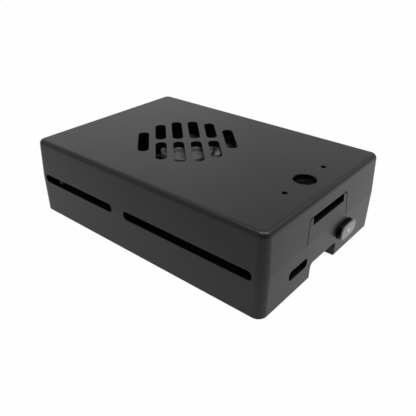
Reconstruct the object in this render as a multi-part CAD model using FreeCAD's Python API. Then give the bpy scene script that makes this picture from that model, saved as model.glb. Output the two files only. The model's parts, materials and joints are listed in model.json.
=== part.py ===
import FreeCAD, Part

import math
import os

# Case for a small single board computer, with the board, fan and camera that it holds. Millimetres.
# The origin is the middle of the underside. +Z is up, +X is the end with the power button,
# and -Y is the long side with the two vents.

V = FreeCAD.Vector
ALONG_X = V(1, 0, 0)
ALONG_Y = V(0, 1, 0)
ALONG_Z = V(0, 0, 1)
HERE = V(0, 0, 0)

# Main board: its length and width follow from where its holes are
board_hole_span_x = 58.0
board_hole_span_y = 49.0
board_hole_inset = 3.5
board_port_zone = 23.5
board_thickness = 1.4
board_corner_radius = 3.0
board_hole_radius = 1.35

# Walls and the room round the board
wall = 2.0
floor_thickness = 1.8
lid_thickness = 2.0
end_margin = 2.0
side_margin = 2.05
standoff_height = 2.6
standoff_radius = 3.1

# Heights of what is stacked on the board under the fan
processor_height = 2.4
thermal_pad_thickness = 0.5
heatsink_height = 3.3
fan_to_heatsink = 1.1
fan_depth = 10.0
fan_boss_height = 1.2

# Outside form of the two shells
parting_height = 13.27
corner_radius = 2.95
lower_inset = 0.19
upper_inset = 0.55
top_edge_radius = 1.7
bottom_edge_chamfer = 0.3
inner_corner_min = 0.5

# Tongue of the lower shell, which stands inside the upper one
tongue_height = 1.0
tongue_thickness = 0.9
tongue_clearance = 0.1

# Screws that hold the shells together, from below
case_screw_radius = 1.2
case_screw_hole_radius = 1.45
case_screw_head_radius = 2.35
case_screw_head_height = 1.5
case_screw_recess_depth = 1.65
case_screw_recess_radius = 2.7
case_screw_reach = 14.0
boss_radius = 3.0
boss_pilot_radius = 1.25
boss_pilot_spare = 1.5
boss_rib_thickness = 1.2

# Vents in the long side, across the parting line
vent_height = 2.83
vent_drop = 0.15
vent_end_margin = 3.55
vent_web_x = -6.8
vent_web_width = 5.2

# Vents in the floor
floor_vent_x = -1.0
floor_vent_length = 42.0
floor_vent_width = 2.2
floor_vent_pitch = 7.0
floor_vent_rows = 4

# Tab of the lower shell at the button end, and the ribbon slot at its top
tab_half_width_low = 11.2
tab_half_width_high = 10.4
tab_rise = 7.75
tab_slit = 0.35
tab_corner_radius = 1.2
ribbon_slot_half_width = 8.8
ribbon_slot_height = 2.4

# Card notch in the end wall and floor
notch_half_width = 7.55
notch_top = 5.25
notch_corner_radius = 1.4
notch_depth = 12.0

# Power inlet at the button end
inlet_from_hole = 9.75
inlet_width = 8.94
inlet_height = 3.26
inlet_depth = 7.3
inlet_overhang = 0.9
inlet_sheet = 0.3
inlet_tongue_width = 6.7
inlet_tongue_thickness = 0.7
inlet_tongue_length = 5.0
inlet_opening_width = 9.5
inlet_opening_height = 3.15
inlet_opening_radius = 1.3
inlet_opening_drop = 0.1

# Power button and its switch
button_y = 11.85
button_centre_rise = 2.16
button_width = 9.2
button_height = 4.75
button_proud = 1.63
button_clearance = 0.25
button_flange_margin = 0.9
button_flange_thickness = 0.75
button_play = 0.05
button_travel = 0.5
window_thickness = 0.4
window_edge_chamfer = 0.2
switch_length = 3.4
switch_width = 6.2
switch_height = 3.7
switch_set_back = 0.1
plunger_width = 3.0
plunger_height = 1.4
plunger_seat = 1.2
plunger_clearance = 0.1
led_length = 1.6
led_width = 1.0
led_height = 0.8
led_y = 16.6

# Fan: its size follows from the room between the lid's bosses
fan_boss_gap = 1.5
fan_port_gap = 1.05
fan_corner_radius = 3.0
fan_rim = 1.0
fan_hole_inset = 4.0
fan_hole_radius = 1.7
fan_base_overhang = 1.1
fan_base_thickness = 1.5
fan_arm_width = 2.4
fan_arm_count = 4
fan_boss_radius = 2.9
fan_pilot_radius = 1.25
fan_pilot_depth = 2.4
fan_screw_radius = 1.2
fan_screw_head_radius = 2.25
fan_screw_head_height = 1.5
fan_screw_tip_gap = 0.1

# Fan rotor
hub_radius = 9.1
hub_wall = 1.0
hub_drop = 0.45
hub_edge_chamfer = 0.5
hub_skirt_gap = 1.3
label_margin = 0.8
label_thickness = 0.15
blade_count = 7
blade_tip_gap = 0.6
blade_thickness = 0.8
blade_camber = 1.0
blade_root_chord = 8.4
blade_tip_chord = 10.4
blade_root_pitch = 44.0
blade_tip_pitch = 30.0
blade_sweep = 16.0
shaft_radius = 0.75
shaft_clearance = 0.05
shaft_boss_radius = 2.3
shaft_boss_height = 1.3
magnet_thickness = 1.1
magnet_height = 4.8

# Fan motor
bearing_wall = 0.9
bearing_tube_wall = 0.9
bearing_top_gap = 0.4
motor_board_margin = 1.0
motor_board_thickness = 0.8
motor_air_gap = 0.55
stator_fit = 0.05
stator_thickness = 2.4
stator_rise = 1.1
stator_ring_wall = 1.1
pole_width = 1.6
pole_shoe_depth = 1.0
pole_shoe_half_angle = 32.0
pole_count = 4
winding_build = 0.75
winding_clearance = 0.1

# Grille in the lid: a plain round field of slots that lie across the lid's diagonal
grille_margin = 1.65
grille_slot_width = 3.6
grille_spread = 0.9164
grille_rows = 6
grille_angle = -45.0
grille_rib = 2.4

# Camera under the lid
lens_from_end = 8.85
lens_hole_radius = 3.4
lens_hole_chamfer = 0.15
camera_hole_pitch = 21.28
pinhole_radius = 0.85
camera_boss_radius = 2.2
camera_board_width = 25.0
camera_board_length = 12.0
camera_board_thickness = 1.0
camera_board_drop = 5.5
camera_board_hole_radius = 1.1
camera_board_corner_radius = 1.5
camera_screw_radius = 0.8
camera_screw_head_radius = 1.4
camera_screw_head_height = 1.0
camera_screw_reach = 4.0
holder_size = 8.6
holder_height = 4.6
holder_edge_radius = 0.5
barrel_radius = 2.85
barrel_below_lid_top = 1.2
barrel_funnel_depth = 0.9
aperture_radius = 1.1
lens_radius = 2.0
lens_thickness = 0.5
lens_crown = 0.35

# Pin header between two of the lid's bosses
header_pitch = 2.54
header_rows = 2
header_base_height = 2.5
header_pin_size = 0.64
header_pin_rise = 8.5

# Share of the room beside the hidden end's three ports that is left at each edge of the board
port_edge_share = 0.17

# Stacked data ports at the hidden end
usb_width = 13.3
usb_depth = 17.5
usb_height = 16.0
usb_overhang = 3.0
usb_sheet = 0.4
usb_cavity_height = 5.6
usb_cavity_rises = (0.7, 9.0)
usb_rear_depth = 6.0
usb_tongue_margin = 1.1
usb_tongue_thickness = 1.9
usb_tongue_drop = 0.7
usb_tongue_set_back = 1.3

# Network jack at the hidden end
lan_width = 16.0
lan_depth = 16.5
lan_height = 13.5
lan_sheet = 0.5
lan_plug_width = 11.8
lan_plug_height = 7.0
lan_plug_depth = 12.0
lan_plug_rise = 4.4
lan_key_widths = (6.4, 3.4)
lan_key_height = 1.4

# Video ports and sound jack in the hidden long side
video_from_end = (26.0, 39.5)
video_width = 6.6
video_depth = 7.5
video_height = 3.1
video_overhang = 1.5
video_sheet = 0.3
video_chamfer = 0.9
video_tongue_width = 4.4
video_tongue_thickness = 0.6
video_tongue_length = 5.6
plug_opening_width = 10.4
plug_opening_height = 6.4
plug_opening_radius = 1.2
sound_from_end = 54.0
sound_width = 7.0
sound_depth = 11.5
sound_height = 6.0
sound_nose_radius = 3.0
sound_nose_length = 1.8
sound_bore_radius = 1.8
sound_bore_depth = 11.0
sound_opening_radius = 4.0
port_clearance = 0.35

# Chips and small parts on the board, measured from its button end
processor_from_end = 38.5
processor_y = -1.0
processor_size = 15.0
processor_lid_size = 12.6
processor_base_height = 0.9
processor_lid_edge = 0.4
heatsink_size = 14.0
heatsink_base = 1.0
heatsink_fins = 7
heatsink_fin_thickness = 0.9
memory_from_end = 54.0
memory_size = (10.0, 14.5, 1.0)
can_from_end = 16.0
can_gap = 4.21
can_size = (11.0, 9.5, 1.7)
can_edge_radius = 0.4
chip_height = 0.9
data_chip_place = (64.0, 8.0)
data_chip_size = 7.0
network_chip_place = (64.5, -12.0)
network_chip_size = 6.0
power_chip_place = (16.5, 9.5)
power_chip_size = 5.0
coil_from_end = 16.5
coil_gap = 3.74
coil_pitch = 5.5
coil_from_side = 12.5
coil_size = 4.0
coil_height = 2.0
coil_edge_radius = 0.5

# Ribbon connector for a display
ribbon_from_end = 8.2
ribbon_thickness = 3.0
ribbon_length = 19.6
ribbon_body_height = 4.4
ribbon_latch_height = 1.1
ribbon_mouth_length = 17.0
ribbon_mouth_width = 0.8
ribbon_mouth_depth = 3.0

# Fan header on the board
fan_header_from_end = 22.5
fan_header_from_side = 8.0
fan_header_length = 6.4
fan_header_width = 4.0
fan_header_height = 4.2
fan_header_wall = 0.7
fan_header_floor = 1.2
fan_header_pins = 3
fan_header_pin_pitch = 1.5
fan_header_pin_size = 0.5
fan_header_pin_height = 3.6

# Card socket under the board
card_socket_width = 14.0
card_socket_depth = 14.5
card_socket_set_back = 0.6
card_socket_height = 1.4
card_socket_sheet = 0.2
card_socket_top = 0.4
card_socket_side = 1.0

# Places that follow from the sizes above
board_length = board_hole_inset + board_hole_span_x + board_port_zone
board_width = board_hole_span_y + 2 * board_hole_inset
case_length = board_length + 2 * (end_margin + wall)
case_width = board_width + 2 * (side_margin + wall)
half_length = case_length / 2
half_width = case_width / 2
inner_end = half_length - wall
inner_side = half_width - wall
board_end = board_length / 2
board_side = board_width / 2
board_bottom = floor_thickness + standoff_height
board_top = board_bottom + board_thickness
heatsink_bottom = board_top + processor_height + thermal_pad_thickness
heatsink_top = heatsink_bottom + heatsink_height
fan_bottom = heatsink_top + fan_to_heatsink
fan_top = fan_bottom + fan_depth
lid_underside = fan_top + fan_boss_height
case_height = lid_underside + lid_thickness
tab_top = parting_height + tab_rise
button_z = board_top + button_centre_rise
flange_front = inner_end - button_play
flange_back = flange_front - button_flange_thickness
plunger_tip = flange_back - plunger_clearance
switch_front = board_end - switch_set_back
switch_back = switch_front - switch_length
header_x = board_end - board_hole_inset - board_hole_span_x / 2
header_y = -board_hole_span_y / 2
header_columns = int((board_hole_span_x - 2 * boss_radius) / header_pitch)
camera_x = half_length - lens_from_end
camera_board_top = lid_underside - camera_board_drop
camera_board_bottom = camera_board_top - camera_board_thickness
fan_base_top = fan_bottom + fan_base_thickness
motor_board_top = fan_base_top + motor_board_thickness
usb_front = -board_end - usb_overhang
usb_back = usb_front + usb_depth
fan_size = board_hole_span_y - 2 * (boss_radius + fan_boss_gap)
fan_x = usb_back + fan_port_gap + fan_size / 2
fan_bore_radius = fan_size / 2 - fan_rim
fan_hole_pitch = fan_size - 2 * fan_hole_inset
fan_base_radius = hub_radius + fan_base_overhang
rotor_radius = fan_bore_radius - blade_tip_gap
label_radius = hub_radius - label_margin
motor_board_radius = fan_base_radius - motor_board_margin
stator_radius = hub_radius - hub_wall - magnet_thickness - motor_air_gap
grille_radius = fan_bore_radius - grille_margin
grille_pitch = 2 * grille_spread * (grille_radius - grille_slot_width / 2) / (grille_rows - 1)
hub_top = fan_top - hub_drop
hub_bottom = fan_base_top + hub_skirt_gap
hub_inside = hub_top - hub_wall
bearing_inner = shaft_radius + shaft_clearance
bearing_outer = bearing_inner + bearing_wall
bearing_tube = bearing_outer + bearing_tube_wall
bearing_top = hub_inside - shaft_boss_height - bearing_top_gap
port_room = board_width - lan_width - 2 * usb_width
port_gap = port_room * (0.5 - port_edge_share)
lan_y = -board_side + port_room * port_edge_share + lan_width / 2
usb_first_y = lan_y + lan_width / 2 + port_gap + usb_width / 2
usb_centres_y = (usb_first_y, usb_first_y + usb_width + port_gap)
usb_tongue_width = usb_width - 2 * usb_tongue_margin
video_front = board_side + video_overhang
video_centres_x = [board_end - distance for distance in video_from_end]
sound_x = board_end - sound_from_end
processor_x = board_end - processor_from_end
memory_x = board_end - memory_from_end
can_x = board_end - can_from_end
can_y = header_y + header_pitch + can_gap + can_size[1] / 2
coil_x = board_end - coil_from_end
coil_first_y = can_y + can_size[1] / 2 + coil_gap + coil_size / 2
coil_rows_y = (coil_first_y, coil_first_y + coil_pitch, board_side - coil_from_side)
ribbon_x = board_end - ribbon_from_end
fan_header_x = board_end - fan_header_from_end
fan_header_y = board_side - fan_header_from_side
inlet_y = inlet_from_hole - board_hole_span_y / 2
inlet_front = board_end + inlet_overhang
inlet_z = board_top + inlet_height / 2
card_front = board_end - card_socket_set_back
OVERCUT = 1.0

board_holes = [
    (board_end - board_hole_inset - shift, side * board_hole_span_y / 2)
    for shift in (0, board_hole_span_x)
    for side in (-1, 1)
]
fan_holes = [
    (fan_x + i * fan_hole_pitch / 2, j * fan_hole_pitch / 2)
    for i in (-1, 1)
    for j in (-1, 1)
]
camera_holes = [(camera_x, side * camera_hole_pitch / 2) for side in (-1, 1)]


# Plain shapes

def box(x0, x1, y0, y1, z0, z1):
    return Part.makeBox(x1 - x0, y1 - y0, z1 - z0, V(x0, y0, z0))


def block(x, y, length, width, z0, z1):
    """Upright block centred on (x, y)."""
    return box(x - length / 2, x + length / 2, y - width / 2, y + width / 2, z0, z1)


def post(x, y, radius, z0, z1):
    return Part.makeCylinder(radius, z1 - z0, V(x, y, z0))


def tube(x, y, outer, inner, z0, z1):
    return post(x, y, outer, z0, z1).cut(post(x, y, inner, z0, z1))


def outline(centre, u, v, length, height, radius):
    """Rounded rectangle along u and v. A radius of half the height gives a pill."""
    a = length / 2 - radius
    b = height / 2 - radius
    corners = []
    for quarter in range(4):
        start = math.radians(90 * quarter - 90)
        middle = start + math.pi / 4
        hub = centre + u * math.copysign(a, math.cos(middle)) + v * math.copysign(b, math.sin(middle))
        corners.append([
            hub + u * (radius * math.cos(t)) + v * (radius * math.sin(t))
            for t in (start, middle, start + math.pi / 2)
        ])
    edges = []
    for this, following in zip(corners, corners[1:] + corners[:1]):
        edges.append(Part.Arc(*this).toShape())
        if (following[0] - this[2]).Length > 1e-6:
            edges.append(Part.LineSegment(this[2], following[0]).toShape())
    return Part.Wire(edges)


def bar(centre, u, v, length, height, radius, push):
    """Rounded rectangle or pill pushed out by the vector push."""
    return Part.Face(outline(centre, u, v, length, height, radius)).extrude(push)


def rounded_plate(x, y, length, width, radius, z0, z1):
    return bar(V(x, y, z0), ALONG_X, ALONG_Y, length, width, radius, V(0, 0, z1 - z0))


def prism(points, push):
    return Part.Face(Part.makePolygon(points + points[:1])).extrude(push)


def edges_at_height(shape, z):
    return [e for e in shape.Edges if all(abs(p.Z - z) < 1e-6 for p in e.Vertexes)]


def upright_edges(shape):
    return [
        e for e in shape.Edges
        if len(e.Vertexes) == 2 and (e.Vertexes[0].Point - e.Vertexes[1].Point).cross(ALONG_Z).Length < 1e-6
    ]


def union(shapes):
    return shapes[0].fuse(shapes[1:]).removeSplitter()


# Form of the case

def case_outline(inset, z):
    radius = max(corner_radius - inset, inner_corner_min)
    return outline(V(0, 0, z), ALONG_X, ALONG_Y, case_length - 2 * inset, case_width - 2 * inset, radius)


def case_block(inset, z0, z1):
    """Upright block that follows the case's outline."""
    return Part.Face(case_outline(inset, z0)).extrude(V(0, 0, z1 - z0))


def drafted_block(inset_low, z_low, inset_high, z_high):
    return Part.makeLoft([case_outline(inset_low, z_low), case_outline(inset_high, z_high)], True, True)


def upper_form():
    form = drafted_block(0, parting_height, upper_inset, case_height)
    return form.makeFillet(top_edge_radius, edges_at_height(form, case_height))


def lower_form():
    form = drafted_block(lower_inset, 0, 0, parting_height)
    return form.makeChamfer(bottom_edge_chamfer, edges_at_height(form, 0))


def tab_prism(slit, z_low):
    """Tapered upright prism through the end wall: the tab, or with a slit round it, its cut-out."""
    x0 = inner_end - (OVERCUT if slit else 0)
    slope = (tab_half_width_low - tab_half_width_high) / tab_rise
    z_high = tab_top + slit
    low = tab_half_width_low + slit + slope * (parting_height - z_low)
    high = tab_half_width_high + slit - slope * slit
    form = prism(
        [V(x0, -low, z_low), V(x0, low, z_low), V(x0, high, z_high), V(x0, -high, z_high)],
        V(half_length + OVERCUT - x0, 0, 0),
    )
    return form.makeFillet(tab_corner_radius, edges_at_height_along_x(form, z_high))


def edges_at_height_along_x(shape, z):
    return [
        e for e in edges_at_height(shape, z)
        if (e.Vertexes[0].Point - e.Vertexes[1].Point).cross(ALONG_X).Length < 1e-6
    ]


def end_port_openings():
    """Openings in the hidden end for the two stacked data ports and the network jack."""
    x0 = -half_length - OVERCUT
    x1 = -inner_end + OVERCUT
    low = board_top - port_clearance
    openings = []
    ports = [(y, usb_width, usb_height) for y in usb_centres_y]
    ports.append((lan_y, lan_width, lan_height))
    for y, width, height in ports:
        reach = width / 2 + port_clearance
        openings.append(box(x0, x1, y - reach, y + reach, low, board_top + height + port_clearance))
    return openings


def side_vents():
    """Two long pill-shaped vents through the long side, across the parting line."""
    reach = half_length - vent_end_margin
    web = vent_web_width / 2
    vents = []
    for start, end in ((-reach, vent_web_x - web), (vent_web_x + web, reach)):
        centre = V((start + end) / 2, -half_width - OVERCUT, parting_height - vent_drop)
        push = V(0, wall + 2 * OVERCUT, 0)
        vents.append(bar(centre, ALONG_X, ALONG_Z, end - start, vent_height, vent_height / 2, push))
    return vents


def floor_vents():
    vents = []
    push = V(0, 0, floor_thickness + 2 * OVERCUT)
    radius = floor_vent_width / 2
    for row in range(floor_vent_rows):
        y = (row - (floor_vent_rows - 1) / 2) * floor_vent_pitch
        centre = V(floor_vent_x, y, -OVERCUT)
        vents.append(bar(centre, ALONG_X, ALONG_Y, floor_vent_length, floor_vent_width, radius, push))
    return vents


def long_side_port_openings():
    """Openings in the hidden long side for the video plugs and the sound plug."""
    push = V(0, wall + 2 * OVERCUT, 0)
    openings = [
        bar(
            V(x, inner_side - OVERCUT, board_top + video_height / 2), ALONG_X, ALONG_Z,
            plug_opening_width, plug_opening_height, plug_opening_radius, push,
        )
        for x in video_centres_x
    ]
    start = V(sound_x, inner_side - OVERCUT, board_top + sound_height / 2)
    openings.append(Part.makeCylinder(sound_opening_radius, push.Length, start, ALONG_Y))
    return openings


def card_notch():
    """Notch in the end wall and floor, through which a card is reached."""
    wall_part = bar(
        V(inner_end - OVERCUT, 0, notch_top / 2 - OVERCUT), ALONG_Y, ALONG_Z,
        2 * notch_half_width, notch_top + 2 * OVERCUT, notch_corner_radius, V(wall + 2 * OVERCUT, 0, 0),
    )
    x0 = half_length - notch_depth
    floor_part = box(
        x0, half_length + OVERCUT, -notch_half_width, notch_half_width, -OVERCUT, floor_thickness + OVERCUT)
    floor_part = floor_part.makeFillet(notch_corner_radius, upright_edges_at(floor_part, x0))
    return [wall_part, floor_part]


def upright_edges_at(shape, x):
    return [e for e in upright_edges(shape) if abs(e.Vertexes[0].X - x) < 1e-6]


def inlet_opening():
    return bar(
        V(inner_end - OVERCUT, inlet_y, inlet_z - inlet_opening_drop), ALONG_Y, ALONG_Z,
        inlet_opening_width, inlet_opening_height, inlet_opening_radius, V(wall + 2 * OVERCUT, 0, 0),
    )


def button_pill(margin, x0, x1):
    height = button_height + 2 * margin
    return bar(
        V(x0, button_y, button_z), ALONG_Y, ALONG_Z,
        button_width + 2 * margin, height, height / 2, V(x1 - x0, 0, 0),
    )


# Shells

def lower_shell():
    tongue_outer = wall - tongue_thickness
    body = lower_form().cut(case_block(wall, floor_thickness, parting_height + OVERCUT))
    tongue = case_block(tongue_outer, parting_height - tongue_height, parting_height + tongue_height)
    tongue = tongue.cut(case_block(wall, 0, case_height))
    tab = upper_form().fuse(lower_form()).common(tab_prism(0, parting_height - OVERCUT))
    standoffs = [post(x, y, standoff_radius, floor_thickness / 2, board_bottom) for x, y in board_holes]
    body = body.fuse([tongue, tab] + standoffs)
    cuts = end_port_openings() + side_vents() + floor_vents() + long_side_port_openings() + card_notch()
    cuts += [inlet_opening(), button_pill(button_clearance, inner_end - OVERCUT, half_length + OVERCUT)]
    cuts.append(box(
        inner_end - OVERCUT, half_length + OVERCUT, -ribbon_slot_half_width, ribbon_slot_half_width,
        tab_top - ribbon_slot_height, tab_top + OVERCUT,
    ))
    for x, y in board_holes:
        cuts.append(post(x, y, case_screw_hole_radius, -OVERCUT, board_bottom + OVERCUT))
        cuts.append(post(x, y, case_screw_recess_radius, -OVERCUT, case_screw_recess_depth))
    return body.cut(cuts).removeSplitter()


def grille_slots():
    """Six straight slots inside a circle; the four long ones are bridged by a rib at the middle."""
    slots = []
    radius = grille_slot_width / 2
    turn = FreeCAD.Rotation(ALONG_Z, grille_angle)
    u = turn.multVec(ALONG_X)
    v = turn.multVec(ALONG_Y)
    push = V(0, 0, lid_thickness + 2 * OVERCUT)
    for row in range(grille_rows):
        offset = (row - (grille_rows - 1) / 2) * grille_pitch
        reach = math.sqrt((grille_radius - radius) ** 2 - offset ** 2) + radius
        middle = V(fan_x, 0, lid_underside - OVERCUT) + v * offset
        if row in (0, grille_rows - 1):
            slots.append(bar(middle, u, v, 2 * reach, grille_slot_width, radius, push))
            continue
        for side in (-1, 1):
            length = reach - grille_rib / 2
            centre = middle + u * (side * (grille_rib + length) / 2)
            slots.append(bar(centre, u, v, length, grille_slot_width, radius, push))
    return slots


def lens_hole():
    """Round hole through the lid with a chamfered mouth."""
    mouth = Part.makeCone(
        lens_hole_radius, lens_hole_radius + lens_hole_chamfer + OVERCUT, lens_hole_chamfer + OVERCUT,
        V(camera_x, 0, case_height - lens_hole_chamfer),
    )
    return [post(camera_x, 0, lens_hole_radius, lid_underside - OVERCUT, case_height + OVERCUT), mouth]


def upper_shell():
    body = upper_form().cut(case_block(wall, parting_height - OVERCUT, lid_underside))
    groove_inset = wall - tongue_thickness - tongue_clearance
    groove_top = parting_height + tongue_height + tongue_clearance
    body = body.cut(case_block(groove_inset, parting_height - OVERCUT, groove_top))
    raised = lid_underside + lid_thickness / 2
    added = [post(x, y, boss_radius, board_top, raised) for x, y in board_holes]
    for x, y in board_holes:
        side = math.copysign(1, y)
        rib_low = parting_height + tongue_height + 2 * tongue_clearance
        y0, y1 = sorted((y, side * (inner_side + wall / 4)))
        added.append(box(x - boss_rib_thickness / 2, x + boss_rib_thickness / 2, y0, y1, rib_low, raised))
    added += [post(x, y, fan_boss_radius, fan_top, raised) for x, y in fan_holes]
    added += [post(x, y, camera_boss_radius, camera_board_top, raised) for x, y in camera_holes]
    body = body.fuse(added)
    pilot_top = board_bottom + case_screw_reach + boss_pilot_spare
    cuts = end_port_openings() + side_vents() + grille_slots()
    cuts.append(tab_prism(tab_slit, parting_height - OVERCUT))
    cuts += [post(x, y, boss_pilot_radius, board_top - OVERCUT, pilot_top) for x, y in board_holes]
    cuts += [post(x, y, fan_pilot_radius, fan_top - OVERCUT, fan_top + fan_pilot_depth) for x, y in fan_holes]
    cuts += [post(x, y, pinhole_radius, 0, case_height + OVERCUT) for x, y in camera_holes]
    cuts += lens_hole()
    return body.cut(cuts).removeSplitter()


# Screws

def screw(x, y, head_radius, head_height, shank_radius, z_head, z_tip):
    """Screw that points up, with the outside of its head at z_head."""
    head = post(x, y, head_radius, z_head, z_head + head_height)
    return head.fuse(post(x, y, shank_radius, z_head + head_height / 2, z_tip)).removeSplitter()


def case_screws():
    seat = case_screw_recess_depth
    tip = board_bottom + case_screw_reach
    return Part.makeCompound([
        screw(x, y, case_screw_head_radius, case_screw_head_height, case_screw_radius,
              seat - case_screw_head_height, tip)
        for x, y in board_holes
    ])


def fan_screws():
    tip = fan_top + fan_pilot_depth - fan_screw_tip_gap
    return Part.makeCompound([
        screw(x, y, fan_screw_head_radius, fan_screw_head_height, fan_screw_radius,
              fan_bottom - fan_screw_head_height, tip)
        for x, y in fan_holes
    ])


def camera_screws():
    head = camera_board_bottom - camera_screw_head_height
    return Part.makeCompound([
        screw(x, y, camera_screw_head_radius, camera_screw_head_height, camera_screw_radius,
              head, camera_board_top + camera_screw_reach)
        for x, y in camera_holes
    ])


# Button and switch

def power_button():
    front = half_length + button_proud - window_thickness
    cap = button_pill(0, flange_back, front)
    flange = button_pill(button_flange_margin, flange_back, flange_front)
    return union([cap, flange])


def button_window():
    front = half_length + button_proud
    window = button_pill(0, front - window_thickness, front)
    rim = [e for e in window.Edges if all(abs(p.X - front) < 1e-6 for p in e.Vertexes)]
    return window.makeChamfer(window_edge_chamfer, rim)


def switch_slot(margin):
    back = switch_front - plunger_seat
    return box(
        back - margin * (button_travel + plunger_clearance),
        switch_front + OVERCUT,
        button_y - plunger_width / 2 - margin * plunger_clearance,
        button_y + plunger_width / 2 + margin * plunger_clearance,
        button_z - plunger_height / 2 - margin * plunger_clearance,
        button_z + plunger_height / 2 + margin * plunger_clearance,
    )


def power_switch():
    body = box(
        switch_back, switch_front, button_y - switch_width / 2, button_y + switch_width / 2,
        board_top, board_top + switch_height,
    )
    return body.cut(switch_slot(1))


def switch_plunger():
    return box(
        switch_front - plunger_seat, plunger_tip,
        button_y - plunger_width / 2, button_y + plunger_width / 2,
        button_z - plunger_height / 2, button_z + plunger_height / 2,
    )


def status_led():
    high = board_top + led_height
    body = block(switch_front - led_width / 2, led_y, led_width, led_length, board_top, high)
    return body.makeChamfer(led_height / 4, edges_at_height(body, high))


# Main board and what is soldered to it

def header_pin_places():
    for column in range(header_columns):
        for row in range(header_rows):
            yield (
                header_x + (column - (header_columns - 1) / 2) * header_pitch,
                header_y + (row - (header_rows - 1) / 2) * header_pitch,
            )


def header_pins():
    high = board_top + header_pin_rise
    return Part.makeCompound([
        block(x, y, header_pin_size, header_pin_size, board_top, high) for x, y in header_pin_places()
    ])


def header_base():
    length = header_columns * header_pitch
    width = header_rows * header_pitch
    body = block(header_x, header_y, length, width, board_top, board_top + header_base_height)
    return body.cut(header_pins())


def main_board():
    plate = rounded_plate(0, 0, board_length, board_width, board_corner_radius, board_bottom, board_top)
    return plate.cut([post(x, y, board_hole_radius, 0, case_height) for x, y in board_holes])


def chip(place, size, height):
    return block(board_end - place[0], place[1], size, size, board_top, board_top + height)


def processor():
    base_top = board_top + processor_base_height
    base = block(processor_x, processor_y, processor_size, processor_size, board_top, base_top)
    lid = block(processor_x, processor_y, processor_lid_size, processor_lid_size, base_top,
                board_top + processor_height)
    lid = lid.makeFillet(processor_lid_edge, upright_edges(lid))
    return base.fuse(lid)


def thermal_pad():
    low = board_top + processor_height
    return block(processor_x, processor_y, processor_lid_size, processor_lid_size, low, heatsink_bottom)


def heatsink():
    shape = block(processor_x, processor_y, heatsink_size, heatsink_size, heatsink_bottom, heatsink_top)
    pitch = (heatsink_size - heatsink_fin_thickness) / (heatsink_fins - 1)
    gap = pitch - heatsink_fin_thickness
    first = processor_x - heatsink_size / 2 + heatsink_fin_thickness
    gaps = [
        box(first + i * pitch, first + i * pitch + gap,
            processor_y - heatsink_size, processor_y + heatsink_size,
            heatsink_bottom + heatsink_base, heatsink_top + OVERCUT)
        for i in range(heatsink_fins - 1)
    ]
    return shape.cut(gaps)


def memory_chip():
    length, width, height = memory_size
    return block(memory_x, processor_y, length, width, board_top, board_top + height)


def wireless_can():
    length, width, height = can_size
    can = block(can_x, can_y, length, width, board_top, board_top + height)
    return can.makeFillet(can_edge_radius, upright_edges(can))


def power_coil(y):
    coil = block(coil_x, y, coil_size, coil_size, board_top, board_top + coil_height)
    return coil.makeFillet(coil_edge_radius, upright_edges(coil))


# Ports at the hidden end

def usb_shell(y):
    """Folded metal box open at the front, with one mouth above the other."""
    half = usb_width / 2
    inner = half - usb_sheet
    shell = box(usb_front, usb_back, y - half, y + half, board_top, board_top + usb_height)
    mouths = [
        box(usb_front - OVERCUT, usb_back - usb_sheet, y - inner, y + inner,
            board_top + rise, board_top + rise + usb_cavity_height)
        for rise in usb_cavity_rises
    ]
    return shell.cut(mouths + [usb_rear_block(y)]).removeSplitter()


def usb_rear_block(y):
    back = usb_back - usb_sheet
    inner = usb_width / 2 - usb_sheet
    low = board_top + usb_cavity_rises[0]
    high = board_top + usb_cavity_rises[-1] + usb_cavity_height
    return box(back - usb_rear_depth, back, y - inner, y + inner, low, high)


def usb_insert(y):
    """Plastic block at the back with a contact tongue in each mouth."""
    rear = usb_rear_block(y)
    tongues = []
    for rise in usb_cavity_rises:
        high = board_top + rise + usb_cavity_height - usb_tongue_drop
        tongues.append(box(
            usb_front + usb_tongue_set_back, rear.BoundBox.XMax,
            y - usb_tongue_width / 2, y + usb_tongue_width / 2, high - usb_tongue_thickness, high,
        ))
    return union([rear] + tongues)


def lan_jack_box(sheet):
    """The jack's outside, or with a sheet thickness, the room inside its metal shell."""
    front = usb_front - (OVERCUT if sheet else 0)
    return box(
        front, usb_front + lan_depth - sheet,
        lan_y - lan_width / 2 + sheet, lan_y + lan_width / 2 - sheet,
        board_top + sheet, board_top + lan_height - sheet,
    )


def lan_jack_shell():
    return lan_jack_box(0).cut(lan_jack_box(lan_sheet))


def lan_jack_insert():
    """Plastic lining with the plug's cavity and the stepped way for its latch."""
    lining = lan_jack_box(lan_sheet).common(lan_jack_box(0))
    x0 = usb_front - OVERCUT
    x1 = usb_front + lan_plug_depth
    low = board_top + lan_plug_rise
    ways = [box(x0, x1, lan_y - lan_plug_width / 2, lan_y + lan_plug_width / 2, low, low + lan_plug_height)]
    for step, width in enumerate(lan_key_widths):
        high = low - step * lan_key_height
        ways.append(box(x0, x1, lan_y - width / 2, lan_y + width / 2, high - lan_key_height, high))
    return lining.cut(union(ways))


# Ports in the hidden long side

def video_outline(x, y, sheet):
    """Section of a video port, narrower at its foot."""
    half = video_width / 2 - sheet
    low = board_top + sheet
    high = board_top + video_height - sheet
    foot = half - video_chamfer
    return [
        V(x - foot, y, low), V(x + foot, y, low), V(x + half, y, low + video_chamfer),
        V(x + half, y, high), V(x - half, y, high), V(x - half, y, low + video_chamfer),
    ]


def video_port_shell(x):
    back = video_front - video_depth
    push = V(0, video_depth, 0)
    shell = prism(video_outline(x, back, 0), push)
    return shell.cut(prism(video_outline(x, back + video_sheet, video_sheet), push))


def video_port_tongue(x):
    back = video_front - video_depth + video_sheet
    middle = board_top + video_height / 2
    return box(
        x - video_tongue_width / 2, x + video_tongue_width / 2, back, back + video_tongue_length,
        middle - video_tongue_thickness / 2, middle + video_tongue_thickness / 2,
    )


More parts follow.
